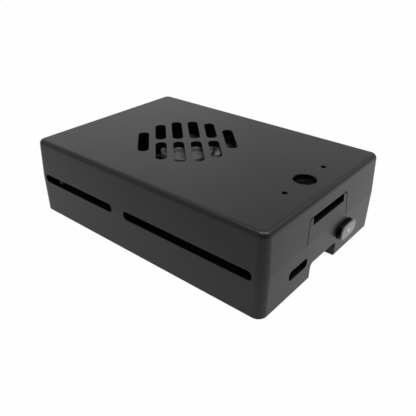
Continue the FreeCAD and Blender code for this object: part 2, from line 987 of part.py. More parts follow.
def sound_jack():
    z = board_top + sound_height / 2
    front = board_side
    length = sound_nose_length + OVERCUT
    body = box(
        sound_x - sound_width / 2, sound_x + sound_width / 2, front - sound_depth, front,
        board_top, board_top + sound_height,
    )
    nose = Part.makeCylinder(sound_nose_radius, length, V(sound_x, front - OVERCUT, z), ALONG_Y)
    mouth = front + sound_nose_length
    bore = Part.makeCylinder(
        sound_bore_radius, sound_bore_depth + OVERCUT, V(sound_x, mouth - sound_bore_depth, z), ALONG_Y)
    return body.fuse(nose).cut(bore).removeSplitter()


# Power inlet and card socket at the button end

def inlet_form(margin, x0, x1):
    height = inlet_height - 2 * margin
    return bar(
        V(x0, inlet_y, inlet_z), ALONG_Y, ALONG_Z,
        inlet_width - 2 * margin, height, height / 2, V(x1 - x0, 0, 0),
    )


def power_inlet_shell():
    back = inlet_front - inlet_depth
    room = inlet_form(inlet_sheet, back + inlet_sheet, inlet_front + OVERCUT)
    return inlet_form(0, back, inlet_front).cut(room)


def power_inlet_tongue():
    back = inlet_front - inlet_depth + inlet_sheet
    return box(
        back, back + inlet_tongue_length, inlet_y - inlet_tongue_width / 2, inlet_y + inlet_tongue_width / 2,
        inlet_z - inlet_tongue_thickness / 2, inlet_z + inlet_tongue_thickness / 2,
    )


def card_socket_body():
    """Plastic plate against the board with a bar down each side of the card."""
    low = board_bottom - card_socket_height + card_socket_sheet
    half = card_socket_width / 2 - card_socket_sheet
    plate = box(card_front - card_socket_depth, card_front, -half, half, low, board_bottom)
    way = box(
        card_front - card_socket_depth + card_socket_side, card_front + OVERCUT,
        -half + card_socket_side, half - card_socket_side,
        low - OVERCUT, board_bottom - card_socket_top,
    )
    return plate.cut(way)


def card_socket_cover():
    """Thin metal tray that closes the socket from below."""
    low = board_bottom - card_socket_height
    half = card_socket_width / 2
    tray = box(card_front - card_socket_depth, card_front, -half, half, low, board_bottom)
    room = box(
        card_front - card_socket_depth - OVERCUT, card_front + OVERCUT,
        -half + card_socket_sheet, half - card_socket_sheet,
        low + card_socket_sheet, board_bottom + OVERCUT,
    )
    return tray.cut(room)


# Ribbon connector and fan header

def ribbon_mouth():
    high = board_top + ribbon_body_height + ribbon_latch_height
    return block(
        ribbon_x, 0, ribbon_mouth_width, ribbon_mouth_length,
        board_top + ribbon_body_height - ribbon_mouth_depth, high + OVERCUT,
    )


def ribbon_connector():
    high = board_top + ribbon_body_height
    return block(ribbon_x, 0, ribbon_thickness, ribbon_length, board_top, high).cut(ribbon_mouth())


def ribbon_latch():
    low = board_top + ribbon_body_height
    bar_shape = block(ribbon_x, 0, ribbon_thickness, ribbon_length, low, low + ribbon_latch_height)
    return bar_shape.cut(ribbon_mouth())


def fan_header_body():
    high = board_top + fan_header_height
    shroud = block(fan_header_x, fan_header_y, fan_header_length, fan_header_width, board_top, high)
    room = block(
        fan_header_x, fan_header_y, fan_header_length - 2 * fan_header_wall,
        fan_header_width - 2 * fan_header_wall, board_top + fan_header_floor, high + OVERCUT,
    )
    return shroud.cut([room, fan_header_pin_group()])


def fan_header_pin_group():
    return Part.makeCompound([
        block(
            fan_header_x + (i - (fan_header_pins - 1) / 2) * fan_header_pin_pitch, fan_header_y,
            fan_header_pin_size, fan_header_pin_size, board_top, board_top + fan_header_pin_height,
        )
        for i in range(fan_header_pins)
    ])


# Fan

def fan_frame():
    """Square frame with a round bore, and arms to the motor's base."""
    frame = rounded_plate(fan_x, 0, fan_size, fan_size, fan_corner_radius, fan_bottom, fan_top)
    frame = frame.cut(post(fan_x, 0, fan_bore_radius, fan_bottom, fan_top))
    frame = frame.cut([post(x, y, fan_hole_radius, fan_bottom, fan_top) for x, y in fan_holes])
    base = post(fan_x, 0, fan_base_radius, fan_bottom, fan_base_top)
    arms = []
    for i in range(fan_arm_count):
        arm = box(
            fan_x + fan_base_radius / 2, fan_x + fan_bore_radius + fan_rim / 2,
            -fan_arm_width / 2, fan_arm_width / 2, fan_bottom, fan_base_top,
        )
        arm.rotate(V(fan_x, 0, 0), ALONG_Z, 360 / fan_arm_count * (i + 0.5))
        arms.append(arm)
    housing = post(fan_x, 0, bearing_tube, fan_bottom, bearing_top)
    frame = union([frame, base, housing] + arms)
    return frame.cut(post(fan_x, 0, bearing_outer, fan_base_top, bearing_top + OVERCUT))


def fan_bearing():
    return tube(fan_x, 0, bearing_outer, bearing_inner, fan_base_top, bearing_top)


def fan_shaft():
    low = fan_base_top + bearing_top_gap
    shaft = post(fan_x, 0, shaft_radius, low, hub_inside)
    return shaft.makeChamfer(shaft_radius / 4, edges_at_height(shaft, low))


def blade_section(share):
    """Curved section of a blade, from the root at share 0 to the tip at share 1."""
    radius = hub_radius - 2 * hub_wall + share * (rotor_radius + hub_wall - hub_radius + 2 * hub_wall)
    pitch = math.radians(blade_root_pitch + share * (blade_tip_pitch - blade_root_pitch))
    turn = math.radians(blade_sweep * share)
    chord = blade_root_chord + share * (blade_tip_chord - blade_root_chord)
    outward = V(math.cos(turn), math.sin(turn), 0)
    tangent = V(-math.sin(turn), math.cos(turn), 0)
    along = tangent * math.cos(pitch) + ALONG_Z * math.sin(pitch)
    normal = tangent * -math.sin(pitch) + ALONG_Z * math.cos(pitch)
    centre = V(fan_x, 0, (hub_bottom + hub_top) / 2) + outward * radius - normal * (blade_camber / 2)
    start = centre - along * (chord / 2)
    end = centre + along * (chord / 2)
    crown = centre + normal * blade_camber
    half = normal * (blade_thickness / 2)
    return Part.Wire([
        Part.Arc(start + half, crown + half, end + half).toShape(),
        Part.LineSegment(end + half, end - half).toShape(),
        Part.Arc(end - half, crown - half, start - half).toShape(),
        Part.LineSegment(start - half, start + half).toShape(),
    ])


def fan_rotor():
    """Hub cup with seven swept and twisted blades, in one moulding."""
    cup = post(fan_x, 0, hub_radius, hub_bottom, hub_top)
    cup = cup.makeChamfer(hub_edge_chamfer, edges_at_height(cup, hub_top))
    cup = cup.cut(post(fan_x, 0, hub_radius - hub_wall, hub_bottom, hub_inside))
    boss = post(fan_x, 0, shaft_boss_radius, hub_inside - shaft_boss_height, hub_inside + hub_wall / 2)
    blade = Part.makeLoft([blade_section(0), blade_section(1)], True, True)
    blade = blade.common(post(fan_x, 0, rotor_radius, fan_bottom, fan_top))
    blade = blade.cut(post(fan_x, 0, hub_radius - hub_wall / 2, fan_bottom, fan_top))
    blades = []
    for i in range(blade_count):
        copy = blade.copy()
        copy.rotate(V(fan_x, 0, 0), ALONG_Z, 360 / blade_count * i)
        blades.append(copy)
    return cup.fuse([boss] + blades).cut(post(fan_x, 0, shaft_radius, fan_bottom, hub_inside))


def rotor_label():
    return post(fan_x, 0, label_radius, hub_top, hub_top + label_thickness)


def rotor_magnet():
    outer = hub_radius - hub_wall
    low = hub_inside - magnet_height
    return tube(fan_x, 0, outer, outer - magnet_thickness, low, hub_inside)


def motor_board():
    return tube(fan_x, 0, motor_board_radius, bearing_tube, fan_base_top, motor_board_top)


def stator_core():
    low = motor_board_top + stator_rise
    high = low + stator_thickness
    ring = post(fan_x, 0, bearing_tube + stator_ring_wall, low, high)
    shoes = tube(fan_x, 0, stator_radius, stator_radius - pole_shoe_depth, low, high)
    reach = stator_radius * math.tan(math.radians(pole_shoe_half_angle))
    poles = []
    wedges = []
    for i in range(pole_count):
        end = fan_x + stator_radius - pole_shoe_depth / 2
        pole = box(fan_x, end, -pole_width / 2, pole_width / 2, low, high)
        wedge = prism(
            [V(fan_x, 0, low), V(fan_x + stator_radius, -reach, low), V(fan_x + stator_radius, reach, low)],
            V(0, 0, stator_thickness),
        )
        for shape, group in ((pole, poles), (wedge, wedges)):
            shape.rotate(V(fan_x, 0, 0), ALONG_Z, 360 / pole_count * i)
            group.append(shape)
    feet = shoes.common(union(wedges))
    return union([ring, feet] + poles).cut(post(fan_x, 0, bearing_tube + stator_fit, low, high))


def stator_windings():
    """One square coil of wire round each pole."""
    low = motor_board_top + stator_rise
    high = low + stator_thickness
    half = pole_width / 2 + winding_build
    start = fan_x + bearing_tube + stator_ring_wall + winding_clearance
    end = fan_x + math.sqrt((stator_radius - pole_shoe_depth) ** 2 - half ** 2) - winding_clearance
    coils = []
    for i in range(pole_count):
        outer = box(start, end, -half, half, low - winding_build, high + winding_build)
        coil = outer.cut(box(start, end, -pole_width / 2, pole_width / 2, low, high))
        coil.rotate(V(fan_x, 0, 0), ALONG_Z, 360 / pole_count * i)
        coils.append(coil)
    return Part.makeCompound(coils)


# Camera

def camera_board():
    plate = rounded_plate(
        camera_x, 0, camera_board_length, camera_board_width, camera_board_corner_radius,
        camera_board_bottom, camera_board_top,
    )
    return plate.cut([post(x, y, camera_board_hole_radius, 0, case_height) for x, y in camera_holes])


def camera_holder():
    """Square foot with a round barrel whose mouth steps down to the aperture."""
    foot_top = camera_board_top + holder_height
    mouth_top = case_height - barrel_below_lid_top
    lens_seat = mouth_top - barrel_funnel_depth
    foot = block(camera_x, 0, holder_size, holder_size, camera_board_top, foot_top)
    foot = foot.makeFillet(holder_edge_radius, upright_edges(foot))
    step = (barrel_radius - lens_radius) / 2
    profile = [
        V(0, 0, camera_board_top + holder_height / 2),
        V(barrel_radius, 0, camera_board_top + holder_height / 2),
        V(barrel_radius, 0, mouth_top),
        V(barrel_radius - step, 0, mouth_top),
        V(barrel_radius - step, 0, mouth_top - barrel_funnel_depth / 2),
        V(lens_radius, 0, mouth_top - barrel_funnel_depth / 2),
        V(lens_radius, 0, lens_seat),
        V(aperture_radius, 0, lens_seat),
        V(aperture_radius, 0, lens_seat - lens_thickness),
        V(0, 0, lens_seat - lens_thickness),
    ]
    barrel = Part.Face(Part.makePolygon(profile + profile[:1])).revolve(HERE, ALONG_Z, 360)
    barrel.translate(V(camera_x, 0, 0))
    return union([foot, barrel])


def camera_lens():
    """Glass disc with a domed front, seated on the aperture's step."""
    seat = case_height - barrel_below_lid_top - barrel_funnel_depth
    rim = seat + lens_thickness - lens_crown
    radius = (lens_radius ** 2 + lens_crown ** 2) / (2 * lens_crown)
    disc = post(camera_x, 0, lens_radius, seat, rim + lens_crown)
    dome = Part.makeSphere(radius, V(camera_x, 0, rim + lens_crown - radius))
    return disc.common(dome)


def all_parts():
    parts = {
        "lower_shell": lower_shell(),
        "upper_shell": upper_shell(),
        "case_screws": case_screws(),
        "power_button": power_button(),
        "button_window": button_window(),
        "power_switch": power_switch(),
        "switch_plunger": switch_plunger(),
        "status_led": status_led(),
        "main_board": main_board(),
        "processor": processor(),
        "thermal_pad": thermal_pad(),
        "heatsink": heatsink(),
        "memory_chip": memory_chip(),
        "wireless_can": wireless_can(),
        "data_chip": chip(data_chip_place, data_chip_size, chip_height),
        "network_chip": chip(network_chip_place, network_chip_size, chip_height),
        "power_chip": chip(power_chip_place, power_chip_size, chip_height),
        "header_base": header_base(),
        "header_pins": header_pins(),
        "network_jack_shell": lan_jack_shell(),
        "network_jack_insert": lan_jack_insert(),
        "sound_jack": sound_jack(),
        "power_inlet_shell": power_inlet_shell(),
        "power_inlet_tongue": power_inlet_tongue(),
        "card_socket_body": card_socket_body(),
        "card_socket_cover": card_socket_cover(),
        "ribbon_connector": ribbon_connector(),
        "ribbon_latch": ribbon_latch(),
        "fan_header": fan_header_body(),
        "fan_header_pins": fan_header_pin_group(),
        "fan_frame": fan_frame(),
        "fan_rotor": fan_rotor(),
        "rotor_label": rotor_label(),
        "fan_shaft": fan_shaft(),
        "fan_bearing": fan_bearing(),
        "rotor_magnet": rotor_magnet(),
        "motor_board": motor_board(),
        "stator_core": stator_core(),
        "stator_windings": stator_windings(),
        "fan_screws": fan_screws(),
        "camera_board": camera_board(),
        "camera_holder": camera_holder(),
        "camera_lens": camera_lens(),
        "camera_screws": camera_screws(),
    }
    for i, y in enumerate(coil_rows_y, 1):
        parts[f"power_coil_{i}"] = power_coil(y)
    for i, y in enumerate(usb_centres_y, 1):
        parts[f"data_port_{i}_shell"] = usb_shell(y)
        parts[f"data_port_{i}_insert"] = usb_insert(y)
    for i, x in enumerate(video_centres_x, 1):
        parts[f"video_port_{i}_shell"] = video_port_shell(x)
        parts[f"video_port_{i}_tongue"] = video_port_tongue(x)
    return parts


os.makedirs("parts", exist_ok=True)
for name, shape in all_parts().items():
    shape.exportStep(f"parts/{name}.step")
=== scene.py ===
import json
import math

import bmesh
import bpy
from mathutils import Matrix, Vector


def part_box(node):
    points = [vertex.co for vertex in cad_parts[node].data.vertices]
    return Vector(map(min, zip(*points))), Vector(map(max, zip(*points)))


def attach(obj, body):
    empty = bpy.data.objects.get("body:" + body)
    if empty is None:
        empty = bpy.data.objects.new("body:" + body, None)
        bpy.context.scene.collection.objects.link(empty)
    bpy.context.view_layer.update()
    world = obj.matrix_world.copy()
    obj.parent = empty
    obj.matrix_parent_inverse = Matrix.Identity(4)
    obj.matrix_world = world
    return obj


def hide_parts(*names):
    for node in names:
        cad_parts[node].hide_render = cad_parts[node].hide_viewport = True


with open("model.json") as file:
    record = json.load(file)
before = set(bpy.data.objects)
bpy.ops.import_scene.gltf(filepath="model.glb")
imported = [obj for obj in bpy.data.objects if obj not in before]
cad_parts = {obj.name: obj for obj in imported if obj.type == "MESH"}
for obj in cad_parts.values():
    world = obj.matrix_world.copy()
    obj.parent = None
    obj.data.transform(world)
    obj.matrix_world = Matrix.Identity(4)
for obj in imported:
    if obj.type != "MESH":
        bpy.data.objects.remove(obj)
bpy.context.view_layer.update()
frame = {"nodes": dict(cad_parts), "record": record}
nodes = frame["nodes"]
MM = 0.001
RANGE_SOCKETS = ("From Min", "From Max", "To Min", "To Max")


# Node helpers

class Tree:
    """A new material with a Principled shader and short calls for the nodes round it."""

    def __init__(self, name):
        self.material = bpy.data.materials.new(name)
        self.material.use_nodes = True
        self.nodes = self.material.node_tree.nodes
        self.links = self.material.node_tree.links
        self.nodes.clear()
        self.output = self.nodes.new("ShaderNodeOutputMaterial")
        self.shader = self.nodes.new("ShaderNodeBsdfPrincipled")
        self.links.new(self.shader.outputs[0], self.output.inputs["Surface"])
        self.place = self.nodes.new("ShaderNodeTexCoord").outputs["Object"]

    def set(self, **values):
        for key, value in values.items():
            socket = self.shader.inputs[key.replace("_", " ")]
            if isinstance(value, (tuple, list)) and len(value) == 3:
                value = (*value, 1)
            socket.default_value = value

    def stretched(self, scale):
        mapping = self.nodes.new("ShaderNodeMapping")
        mapping.inputs["Scale"].default_value = scale
        self.links.new(self.place, mapping.inputs["Vector"])
        return mapping.outputs[0]

    def noise(self, size_mm, detail=2.0, vector=None, roughness=0.5):
        node = self.nodes.new("ShaderNodeTexNoise")
        node.inputs["Scale"].default_value = 1 / (size_mm * MM)
        node.inputs["Detail"].default_value = detail
        node.inputs["Roughness"].default_value = roughness
        self.links.new(vector or self.place, node.inputs["Vector"])
        return node.outputs["Fac"]

    def cells(self, size_mm, feature="F1", distance="EUCLIDEAN"):
        node = self.nodes.new("ShaderNodeTexVoronoi")
        node.feature = feature
        node.distance = distance
        node.inputs["Scale"].default_value = 1 / (size_mm * MM)
        self.links.new(self.place, node.inputs["Vector"])
        return node.outputs

    def ramp(self, fac, stops, smooth=True):
        node = self.nodes.new("ShaderNodeValToRGB")
        node.color_ramp.interpolation = "EASE" if smooth else "CONSTANT"
        points = node.color_ramp.elements
        points[0].position, points[0].color = stops[0][0], (*stops[0][1], 1)
        points[1].position, points[1].color = stops[-1][0], (*stops[-1][1], 1)
        for position, colour in stops[1:-1]:
            points.new(position).color = (*colour, 1)
        self.links.new(fac, node.inputs["Fac"])
        return node.outputs["Color"]

    def spread(self, fac, low, high, start=0.3, end=0.7):
        node = self.nodes.new("ShaderNodeMapRange")
        for key, value in zip(RANGE_SOCKETS, (start, end, low, high)):
            node.inputs[key].default_value = value
        self.links.new(fac, node.inputs["Value"])
        return node.outputs[0]

    def math(self, operation, a, b):
        node = self.nodes.new("ShaderNodeMath")
        node.operation = operation
        for socket, value in zip(node.inputs, (a, b)):
            if isinstance(value, (int, float)):
                socket.default_value = value
            else:
                self.links.new(value, socket)
        return node.outputs[0]

    def mix(self, fac, a, b):
        """Colour between a and b. A Mix node has its two colours at inputs 6 and 7."""
        node = self.nodes.new("ShaderNodeMix")
        node.data_type = "RGBA"
        sockets = node.inputs["Factor"], node.inputs[6], node.inputs[7]
        for socket, value in zip(sockets, (fac, a, b)):
            if isinstance(value, tuple):
                socket.default_value = (*value, 1)
            elif isinstance(value, (int, float)):
                socket.default_value = value
            else:
                self.links.new(value, socket)
        return node.outputs[2]

    def colour(self, socket):
        self.links.new(socket, self.shader.inputs["Base Color"])

    def roughness(self, socket):
        self.links.new(socket, self.shader.inputs["Roughness"])

    def soft_edges(self, radius_mm):
        """Normal that rounds the corners it meets by this radius."""
        node = self.nodes.new("ShaderNodeBevel")
        node.samples = 6
        node.inputs["Radius"].default_value = radius_mm * MM
        return node.outputs[0]

    def bump(self, *layers, normal=None):
        """Each layer is (height socket, depth in mm)."""
        for height, depth in layers:
            node = self.nodes.new("ShaderNodeBump")
            node.inputs["Strength"].default_value = 1
            node.inputs["Distance"].default_value = depth * MM
            self.links.new(height, node.inputs["Height"])
            if normal:
                self.links.new(normal, node.inputs["Normal"])
            normal = node.outputs[0]
        self.links.new(normal, self.shader.inputs["Normal"])


def shade(colour, factor):
    return tuple(min(1, c * factor) for c in colour)


# Materials

# Sizes in mm of the slow changes over a moulding, and how far its roughness swings
SLOW_TONE = 14
SLOW_GLOSS = 9
GLOSS_SWING = 0.012


def moulded(name, colour, roughness=0.42, grain=0.3, depth=0.004, specular=0.5, edge=0):
    """Plastic from a spark-eroded mould: fine even grain, with slow changes of tone and gloss."""
    t = Tree(name)
    fine = t.noise(grain, 3)
    slow = t.noise(SLOW_TONE, 2)
    speckled = t.mix(t.spread(fine, 0, 1), shade(colour, 0.9), shade(colour, 1.06))
    t.colour(t.mix(t.spread(slow, 0, 1), speckled, shade(colour, 1.08)))
    t.roughness(t.spread(t.noise(SLOW_GLOSS, 3), roughness - GLOSS_SWING, roughness + GLOSS_SWING))
    t.bump((fine, depth), normal=t.soft_edges(edge) if edge else None)
    t.set(Specular_IOR_Level=specular, IOR=1.46)
    return t.material


def metal(name, colour, roughness=0.3, along=(1, 12, 12), depth=0.002, edge=0):
    """Rolled or plated metal with fine lines along it."""
    t = Tree(name)
    lines = t.noise(0.6, 4, t.stretched(along), 0.6)
    t.colour(t.mix(t.spread(lines, 0, 1), shade(colour, 0.88), shade(colour, 1.05)))
    t.roughness(t.spread(lines, roughness - 0.06, roughness + 0.08))
    t.bump((lines, depth), normal=t.soft_edges(edge) if edge else None)
    t.set(Metallic=1.0)
    return t.material


# In mm
TRACK_PITCH = 2.2


def laminate(name, mask, copper):
    """Board with a tinted mask over copper tracks that run in rings of uneven size."""
    t = Tree(name)
    tracks = t.cells(TRACK_PITCH, "F1", "CHEBYCHEV")["Distance"]
    dark, light = (0, 0, 0), (1, 1, 1)
    lines = t.ramp(tracks, [(0.0, dark), (0.5, dark), (0.56, light), (0.62, dark), (1.0, dark)])
    weave = t.noise(0.5, 2)
    base = t.mix(t.spread(weave, 0, 1), shade(mask, 0.85), shade(mask, 1.1))
    t.colour(t.mix(lines, base, copper))
    t.roughness(t.spread(weave, 0.3, 0.42))
    t.bump((lines, 0.03), (weave, 0.004))
    return t.material


def soft(name, colour, roughness=0.7):
    """Matt rubber, epoxy or ferrite with a fine grain."""
    t = Tree(name)
    fine = t.noise(0.25, 4)
    t.colour(t.mix(t.spread(fine, 0, 1), shade(colour, 0.85), shade(colour, 1.1)))
    t.roughness(t.spread(fine, roughness - 0.08, roughness + 0.08))
    t.bump((fine, 0.01))
    return t.material


def glass_front(name):
    """Coated lens: nearly black glass with a faint change of tint."""
    t = Tree(name)
    rings = t.noise(1.5, 1)
    t.colour(t.mix(t.spread(rings, 0, 1), (0.003, 0.003, 0.0035), (0.006, 0.0055, 0.007)))
    t.roughness(t.spread(rings, 0.03, 0.06))
    t.set(Specular_IOR_Level=0.12)
    return t.material


# Painted glow on the button's face, in colour and emission, standing in for bright highlight
# specks: full up to the first distance and gone at the second
PAINTED_GLOW_CORE = 0.2 * MM
PAINTED_GLOW_REACH = 0.8 * MM


def painted_glow_window(name, centre):
    """Translucent button face with a painted glow in its middle, lighter in colour and emitting,
    that stands in for a highlight.
    """
    t = Tree(name)
    haze = t.noise(1.6, 3)
    fine = t.noise(0.25, 2)
    gap = t.nodes.new("ShaderNodeVectorMath")
    gap.operation = "DISTANCE"
    t.links.new(t.place, gap.inputs[0])
    gap.inputs[1].default_value = centre
    near = t.spread(gap.outputs["Value"], 1, 0, PAINTED_GLOW_CORE, PAINTED_GLOW_REACH)
    base = t.mix(t.spread(haze, 0, 1), (0.13, 0.13, 0.13), (0.21, 0.21, 0.207))
    # Painted glow: the face's colour turns light towards its middle
    t.colour(t.mix(near, base, (0.75, 0.75, 0.74)))
    t.roughness(t.spread(haze, 0.16, 0.28))
    t.bump((fine, 0.004), (haze, 0.03))
    t.set(Emission_Color=(1.0, 0.99, 0.96), Specular_IOR_Level=0.5)
    t.set(Coat_Weight=0.2, Coat_Roughness=0.08)
    # Painted glow: the face itself emits in its middle, though it is no lamp
    painted_glow = t.math("MULTIPLY", t.math("POWER", near, 2.0), 0.2)
    t.links.new(painted_glow, t.shader.inputs["Emission Strength"])
    return t.material


BLACK = (0.005, 0.005, 0.0051)
SHELL_FINISH = {"roughness": 0.35, "depth": 0.003, "specular": 0.395, "edge": 0.12}
button_low, button_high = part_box("button_window")
button_middle = (button_low + button_high) / 2
materials = {
    "upper_plastic": moulded("upper_moulding", BLACK, **SHELL_FINISH),
    "lower_plastic": moulded("lower_moulding", BLACK, **SHELL_FINISH),
    "button_plastic": moulded(
        "button_moulding", (0.003, 0.003, 0.003), 0.25,
        grain=0.2, depth=0.002, specular=0.2, edge=0.15),
    "window_plastic": painted_glow_window("button_face_painted_glow", (button_high.x, button_middle.y, button_middle.z)),
    "plunger_plastic": moulded("plunger_moulding", (0.5, 0.5, 0.48)),
    "led_plastic": moulded("led_moulding", (0.7, 0.7, 0.6), 0.2),
    "board_laminate": laminate("board_mask", (0.012, 0.07, 0.03), (0.03, 0.13, 0.05)),
    "camera_laminate": laminate("camera_mask", (0.012, 0.06, 0.025), (0.03, 0.11, 0.045)),
    "processor_metal": metal("processor_lid", (0.6, 0.6, 0.61), 0.35),
    "pad_rubber": soft("thermal_pad_rubber", (0.3, 0.34, 0.38)),
    "heatsink_metal": metal("heatsink_anodised", (0.06, 0.06, 0.065), 0.4),
    "chip_plastic": soft("chip_epoxy", (0.02, 0.02, 0.021), 0.5),
    "can_metal": metal("can_tinplate", (0.62, 0.62, 0.6), 0.3),
    "connector_plastic": moulded("connector_nylon", (0.01, 0.01, 0.01), 0.45),
    "pin_metal": metal("pin_gold", (0.75, 0.55, 0.22), 0.22),
    "port_metal": metal("port_steel", (0.68, 0.68, 0.67), 0.26, (12, 1, 12), edge=0.3),
    # Power inlet steel made near black: painted shade of its recess, not the steel's own colour
    "inlet_metal": metal("inlet_steel_painted_dark", (0.01, 0.01, 0.0103), 0.5),
    "insert_plastic": moulded("insert_nylon", (0.014, 0.014, 0.014), 0.45),
    "jack_plastic": moulded("jack_nylon", (0.016, 0.016, 0.016), 0.4),
    "switch_steel": metal("switch_case", (0.6, 0.6, 0.58), 0.3),
    "ribbon_plastic": moulded("ribbon_nylon", (0.6, 0.57, 0.48), 0.45),
    "latch_plastic": moulded("latch_nylon", (0.02, 0.018, 0.016), 0.45),
    "frame_plastic": moulded("fan_frame_moulding", (0.035, 0.035, 0.036), 0.36),
    "rotor_plastic": moulded("fan_rotor_moulding", (0.03, 0.03, 0.031), 0.3),
    "label_film": moulded("hub_film", (0.1, 0.1, 0.1), 0.45, 0.6, 0.002),
    "screw_steel": metal("screw_plating", (0.16, 0.16, 0.165), 0.3),
    "bearing_metal": metal("bearing_bronze", (0.45, 0.3, 0.13), 0.45),
    "magnet_rubber": soft("magnet_compound", (0.03, 0.03, 0.03), 0.6),
    "stator_steel": metal("stator_sheet", (0.4, 0.4, 0.4), 0.35, (12, 12, 1)),
    "winding_wire": metal("winding_copper", (0.6, 0.22, 0.07), 0.28, (1, 1, 14), 0.02),
    "holder_plastic": moulded(
        "holder_moulding", (0.002, 0.002, 0.002), 0.3, specular=0.2, edge=0.25),
    "lens_glass": glass_front("lens_glass"),
    "coil_ferrite": soft("coil_ferrite", (0.09, 0.09, 0.095), 0.55),
}

slots = {part["node"]: part["material_slot"] for part in frame["record"]["subparts"]}
for name, piece in nodes.items():
    for holder in piece.material_slots:
        holder.material = materials[slots[name]]


# Added pieces, in millimetres until they are made

def corners(node):
    """Lowest and highest corner of a node, in mm."""
    low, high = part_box(node)
    return Vector(low) / MM, Vector(high) / MM


def add_box(bm, low, high):
    low, high = Vector(low), Vector(high)
    place = Matrix.Translation((low + high) / 2) @ Matrix.Diagonal((*(high - low), 1))
    bmesh.ops.create_cube(bm, size=1, matrix=place)


def add_strip(bm, path, across, thickness):
    """Flat strip along a path of points, half of across to each side and as thick as given."""
    across = Vector(across)
    rings = []
    for i, point in enumerate(path):
        before, after = path[max(i - 1, 0)], path[min(i + 1, len(path) - 1)]
        rise = (Vector(after) - Vector(before)).cross(across).normalized() * (thickness / 2)
        rings.append([
            bm.verts.new(Vector(point) + across / 2 * a + rise * b)
            for a, b in ((-1, -1), (1, -1), (1, 1), (-1, 1))
        ])
    for one, two in zip(rings, rings[1:]):
        for k in range(4):
            bm.faces.new((one[k], one[(k + 1) % 4], two[(k + 1) % 4], two[k]))
    bm.faces.new(rings[0][::-1])
    bm.faces.new(rings[-1])


def circle(sides):
    """Cosine and sine of evenly spaced angles."""
    angles = [2 * math.pi * k / sides for k in range(sides)]
    return [(math.cos(t), math.sin(t)) for t in angles]


def add_turned(bm, centre, axis, profile, sides=32):
    """Turned shape: the profile is (radius, height) along an axis through the centre."""
    turn = Vector((0, 0, 1)).rotation_difference(Vector(axis)).to_matrix()
    centre = Vector(centre)
    rings = []
    for radius, height in profile:
        if radius == 0:
            rings.append([bm.verts.new(centre + turn @ Vector((0, 0, height)))])
            continue
        rings.append([
            bm.verts.new(centre + turn @ Vector((radius * c, radius * s, height)))
            for c, s in circle(sides)
        ])
    for one, two in zip(rings, rings[1:]):
        for k in range(sides):
            near = [one[k % len(one)], one[(k + 1) % len(one)]]
            far = [two[(k + 1) % len(two)], two[k % len(two)]]
            corners_of_face = list(dict.fromkeys(near + far))
            if len(corners_of_face) > 2:
                bm.faces.new(corners_of_face)


def piece(name, bm, slot, body="case", smooth=False):
    """Turns the mm shapes into an object with a slot's material that rides on a body."""
    bmesh.ops.scale(bm, vec=(MM, MM, MM), verts=bm.verts)
    bmesh.ops.recalc_face_normals(bm, faces=bm.faces)
    mesh = bpy.data.meshes.new(name)
    bm.to_mesh(mesh)
    bm.free()
    item = bpy.data.objects.new(name, mesh)
    bpy.context.scene.collection.objects.link(item)
    mesh.materials.append(materials[slot])
    if smooth:
        mesh.shade_smooth()
        mesh.set_sharp_from_angle(angle=math.radians(35))
    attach(item, body)
    return item


# Screws under the floor, with a cross recess in each head

def cross_outline(reach, half, turn):
    """Twelve corners of a cross with arms of this reach and half width."""
    quarter = [(reach, -half), (reach, half), (half, half)]
    points = []
    for k in range(4):
        angle = turn + k * math.pi / 2
        c, s = math.cos(angle), math.sin(angle)
        points += [(x * c - y * s, x * s + y * c) for x, y in quarter]
    return points


# Shares of the head's radius and height
CROWN_REACH, CROWN_RISE = 0.86, 0.22
MOUTH_REACH, FOOT_REACH, RECESS_RISE = 0.56, 0.36, 0.62
# Half width of the cross at its mouth and at its foot
MOUTH_HALF, FOOT_HALF = 0.24, 0.16
SCREW_SIDES = 40


def add_cross_screw(bm, place, head_radius, head_height, shank_radius, length, turn):
    """Screw that points up, with a crowned head and a tapered cross recess in its underside."""
    x, y, low = place
    sides = SCREW_SIDES

    def ring_of(radius, height):
        return [bm.verts.new((x + radius * c, y + radius * s, height)) for c, s in circle(sides)]

    def cross_of(reach, half, height):
        outline = cross_outline(head_radius * reach, half, turn)
        return [bm.verts.new((x + px, y + py, height)) for px, py in outline]

    rim = ring_of(head_radius * CROWN_REACH, low)
    mouth = cross_of(MOUTH_REACH, MOUTH_HALF, low)
    foot = cross_of(FOOT_REACH, FOOT_HALF, low + head_height * RECESS_RISE)
    edges = [
        bm.edges.new((ring[k], ring[(k + 1) % len(ring)]))
        for ring in (rim, mouth)
        for k in range(len(ring))
    ]
    bmesh.ops.triangle_fill(bm, edges=edges, use_beauty=True)
    for k in range(len(mouth)):
        after = (k + 1) % len(mouth)
        bm.faces.new((mouth[k], mouth[after], foot[after], foot[k]))
    bm.faces.new(foot)
    steps = [
        (head_radius, head_height * CROWN_RISE),
        (head_radius, head_height),
        (shank_radius, head_height),
        (shank_radius, length),
    ]
    ring = rim
    for radius, height in steps:
        above = ring_of(radius, low + height)
        for k in range(sides):
            after = (k + 1) % sides
            bm.faces.new((ring[k], ring[after], above[after], above[k]))
        ring = above
    bm.faces.new(ring)


CASE_SCREW = {"head_radius": 2.35, "head_height": 1.5, "shank_radius": 1.2}
FIRST_TURN, NEXT_TURN = 0.5, 1.3
low, high = corners("case_screws")
inset = CASE_SCREW["head_radius"]
screw_places = [
    (x, y)
    for x in (low.x + inset, high.x - inset)
    for y in (low.y + inset, high.y - inset)
]
bm = bmesh.new()
for i, (x, y) in enumerate(screw_places):
    turn = FIRST_TURN + NEXT_TURN * i
    add_cross_screw(bm, (x, y, low.z), length=high.z - low.z, turn=turn, **CASE_SCREW)
screws = piece("case_screws_dressed", bm, "screw_steel", smooth=True)
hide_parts("case_screws")



# Contacts and springs in the ports

